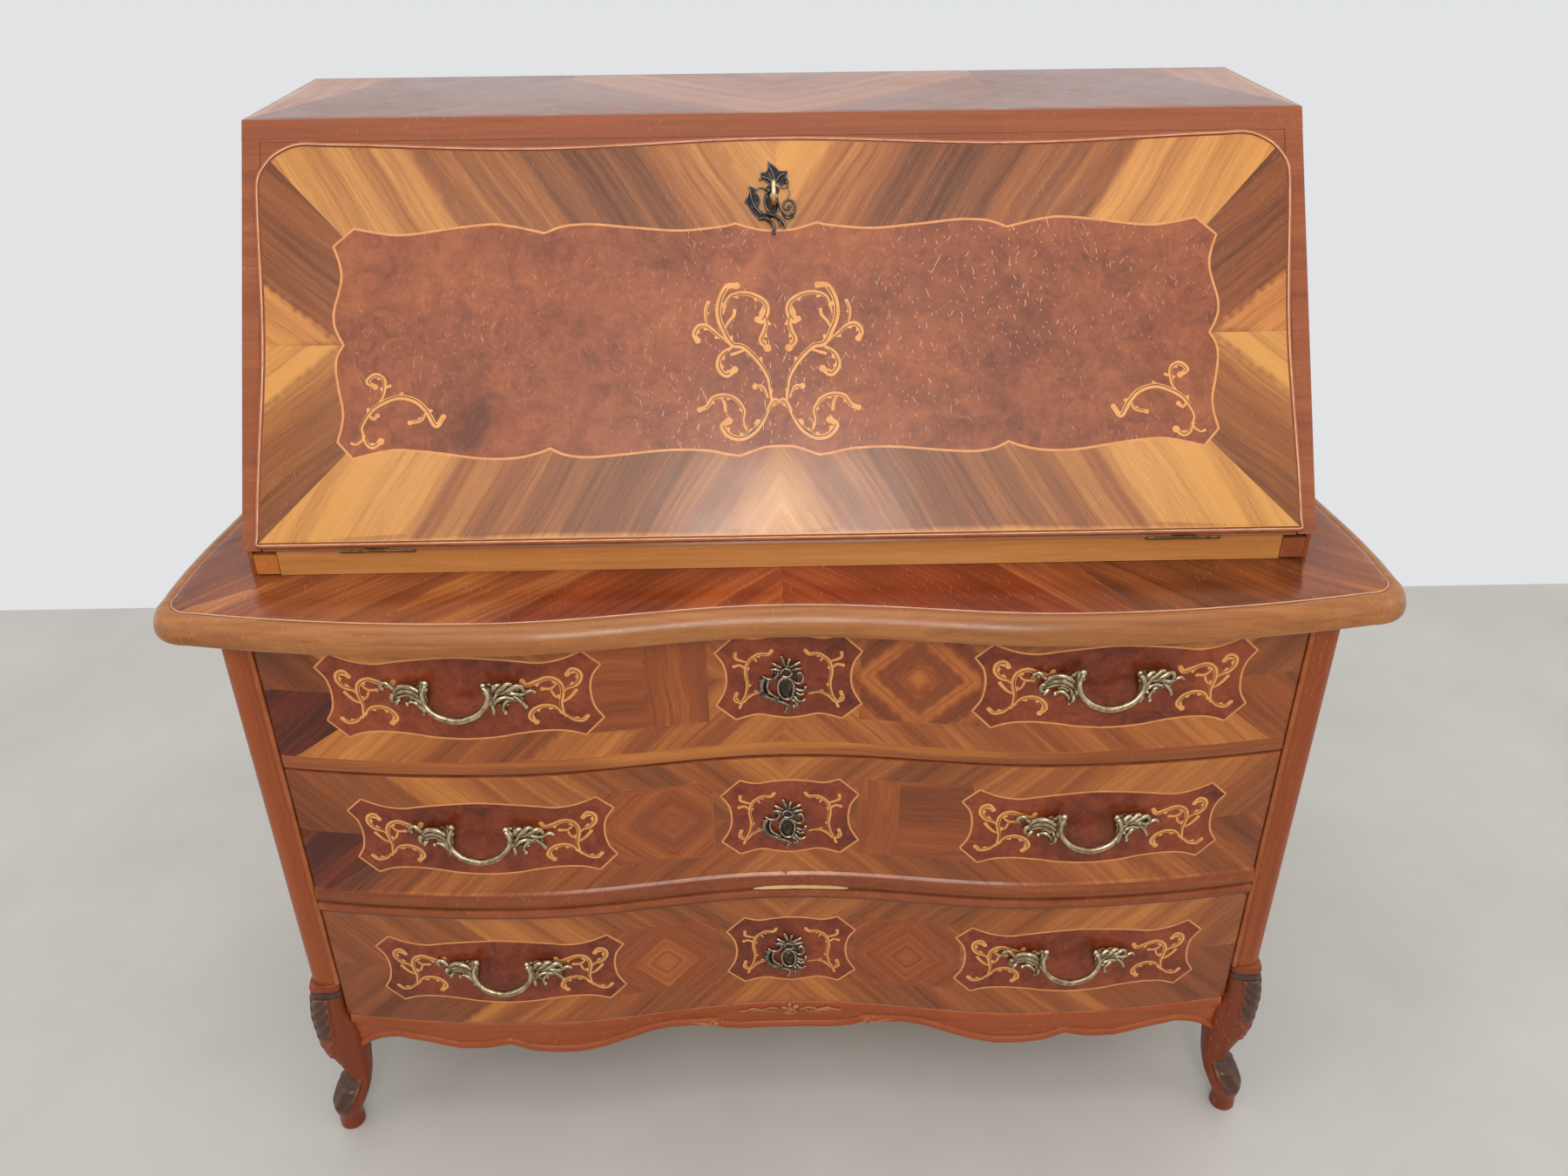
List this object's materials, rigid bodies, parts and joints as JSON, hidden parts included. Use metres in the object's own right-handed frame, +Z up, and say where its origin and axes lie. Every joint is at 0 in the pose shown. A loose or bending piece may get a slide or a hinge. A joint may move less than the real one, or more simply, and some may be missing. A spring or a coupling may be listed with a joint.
{
  "type": "secretary desk",
  "caption": "Slant-front secretary desk with an inlaid drop flap over a writing case, on a serpentine chest of long drawers with carved cabriole legs.",
  "frame": {"origin": "on the floor, under the middle of the desk's overall box", "axes": "+X to the right of someone facing the desk, +Y from the front towards the wall, +Z up"},
  "size_m": [1.148, 0.561, 1.0434],
  "materials": {
    "walnut_frame": "satin lacquered solid walnut, reddish brown",
    "walnut_veneer": "book-matched walnut veneer under semi-gloss lacquer",
    "walnut_leg": "carved solid walnut, satin",
    "inner_wood": "plain pale wood, matt",
    "antique_brass": "cast brass with a dark patina, worn bright on the high parts",
    "bright_brass": "worn bright brass"
  },
  "bodies": {
    "desk": {"case_back": "inner_wood", "case_side_left": "walnut_veneer", "case_side_right": "walnut_veneer", "case_top": "walnut_veneer", "chest_back_panel": "inner_wood", "chest_bottom_board": "inner_wood", "chest_side_left": "walnut_veneer", "chest_side_right": "walnut_veneer", "chest_top_board": "walnut_frame", "corner_post_left": "walnut_frame", "corner_post_right": "walnut_frame", "dust_board_lower": "inner_wood", "dust_board_upper": "inner_wood", "flap_sill": "walnut_frame", "front_apron": "walnut_frame", "gallery_divider_left": "inner_wood", "gallery_divider_right": "inner_wood", "gallery_shelf": "inner_wood", "hinge_fixed_leaf_left": "antique_brass", "hinge_fixed_leaf_right": "antique_brass", "leg_back_left": "walnut_leg", "leg_back_right": "walnut_leg", "leg_front_left": "walnut_leg", "leg_front_right": "walnut_leg", "lock_rail": "walnut_frame", "writing_bed": "walnut_veneer"},
    "flap": {"flap_panel": "walnut_veneer", "flap_escutcheon": "antique_brass", "flap_lock_case": "antique_brass", "hinge_flap_leaf_left": "antique_brass", "hinge_flap_leaf_right": "antique_brass"},
    "lock_bolt": {"flap_lock_bolt": "bright_brass"},
    "key": {"flap_key": "bright_brass"},
    "loper_left": {"loper_left": "walnut_leg"},
    "loper_right": {"loper_right": "walnut_leg"},
    "letter_drawer_left": {"letter_drawer_left": "inner_wood", "letter_knob_left": "antique_brass"},
    "letter_drawer_right": {"letter_drawer_right": "inner_wood", "letter_knob_right": "antique_brass"},
    "drawer_1": {"drawer_1_front": "walnut_veneer", "drawer_1_box": "inner_wood", "drawer_1_bottom": "inner_wood", "drawer_1_lock": "antique_brass", "drawer_1_escutcheon": "antique_brass", "drawer_1_handle_left": "antique_brass", "drawer_1_handle_right": "antique_brass"},
    "drawer_2": {"drawer_2_front": "walnut_veneer", "drawer_2_box": "inner_wood", "drawer_2_bottom": "inner_wood", "drawer_2_lock": "antique_brass", "drawer_2_escutcheon": "antique_brass", "drawer_2_handle_left": "antique_brass", "drawer_2_handle_right": "antique_brass"},
    "drawer_3": {"drawer_3_front": "walnut_veneer", "drawer_3_box": "inner_wood", "drawer_3_bottom": "inner_wood", "drawer_3_lock": "antique_brass", "drawer_3_escutcheon": "antique_brass", "drawer_3_handle_left": "antique_brass", "drawer_3_handle_right": "antique_brass"}
  },
  "joints": [
    {"name": "flap_hinge", "type": "hinge", "parent": "desk", "child": "flap", "pos_m": [0, -0.1728, 0.7011], "axis": [1, 0, 0], "range_deg": [0, 122.75]},
    {"name": "key_turn", "type": "hinge", "parent": "flap", "child": "key", "pos_m": [-0.002, -0.00039, 0.9685], "axis": [0, -0.841, 0.541], "range_deg": [0, 90]},
    {"name": "lock_bolt_slide", "type": "slide", "parent": "flap", "child": "lock_bolt", "axis": [0, 0.541, 0.841], "range_m": [0, 0.008]},
    {"name": "loper_left_slide", "type": "slide", "parent": "desk", "child": "loper_left", "axis": [0, -1, 0], "range_m": [0, 0.24]},
    {"name": "loper_right_slide", "type": "slide", "parent": "desk", "child": "loper_right", "axis": [0, -1, 0], "range_m": [0, 0.24]},
    {"name": "letter_drawer_left_slide", "type": "slide", "parent": "desk", "child": "letter_drawer_left", "axis": [0, -1, 0], "range_m": [0, 0.14]},
    {"name": "letter_drawer_right_slide", "type": "slide", "parent": "desk", "child": "letter_drawer_right", "axis": [0, -1, 0], "range_m": [0, 0.14]},
    {"name": "drawer_1_slide", "type": "slide", "parent": "desk", "child": "drawer_1", "axis": [0, -1, 0], "range_m": [0, 0.36]},
    {"name": "drawer_2_slide", "type": "slide", "parent": "desk", "child": "drawer_2", "axis": [0, -1, 0], "range_m": [0, 0.36]},
    {"name": "drawer_3_slide", "type": "slide", "parent": "desk", "child": "drawer_3", "axis": [0, -1, 0], "range_m": [0, 0.36]}
  ],
  "couplings": [
    {"joint": "lock_bolt_slide", "follows": "key_turn", "m_per_rad": 0.005}
  ]
}
